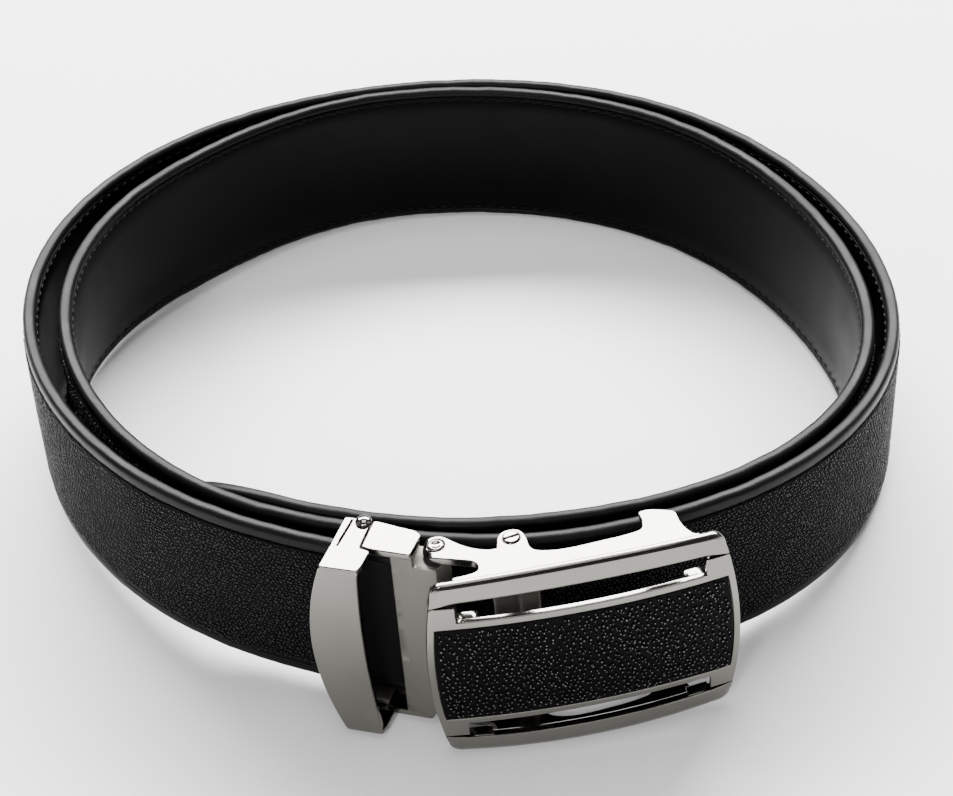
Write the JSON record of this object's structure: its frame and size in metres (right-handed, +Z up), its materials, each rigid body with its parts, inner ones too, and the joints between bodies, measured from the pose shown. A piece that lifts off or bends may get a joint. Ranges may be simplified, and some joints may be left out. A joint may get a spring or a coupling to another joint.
{
  "type": "leather belt",
  "caption": "Black stingray leather waist belt, coiled on its edge, with a metal plate buckle that swings on a hinged clamp, a leather inlay and a metal keeper.",
  "frame": {"origin": "bottom centre of the bounding box, on the surface that the belt stands on", "axes": "+Z up, +X to the right and +Y away from the viewer who faces the buckle"},
  "size_m": [0.1838, 0.185, 0.0451],
  "materials": {
    "edge_leather": "smooth black leather with a painted edge",
    "stingray": "black stingray skin, small raised pearls",
    "lining_leather": "smooth satin black leather",
    "track_plastic": "matt black",
    "nickel": "polished nickel plate",
    "satin_nickel": "satin nickel plate",
    "polished_nickel": "polished pin heads"
  },
  "bodies": {
    "belt": {"strap_body": "edge_leather", "stingray_skin": "stingray", "strap_lining": "lining_leather", "ratchet_track": "track_plastic", "clamp_body": "satin_nickel", "keeper": "nickel", "keeper_pin_top": "polished_nickel", "keeper_pin_bottom": "polished_nickel", "hinge_pin": "polished_nickel"},
    "plate": {"buckle_frame": "nickel", "centre_panel": "nickel", "stingray_inlay": "stingray", "pawl_pin": "polished_nickel"},
    "catch": {"pawl": "satin_nickel"}
  },
  "joints": [
    {"name": "plate_swing", "type": "hinge", "parent": "belt", "child": "plate", "pos_m": [-0.00386, -0.07975, 0.02175], "axis": [0.0367, -0.021, -0.9991], "range_deg": [0, 60]},
    {"name": "catch_pivot", "type": "hinge", "parent": "plate", "child": "catch", "pos_m": [0.00986, -0.08025, 0.02227], "axis": [-0.0367, 0.021, 0.9991], "range_deg": [0, 10], "stiffness_Nm_per_rad": 0.02, "springref_deg": -5.73}
  ]
}
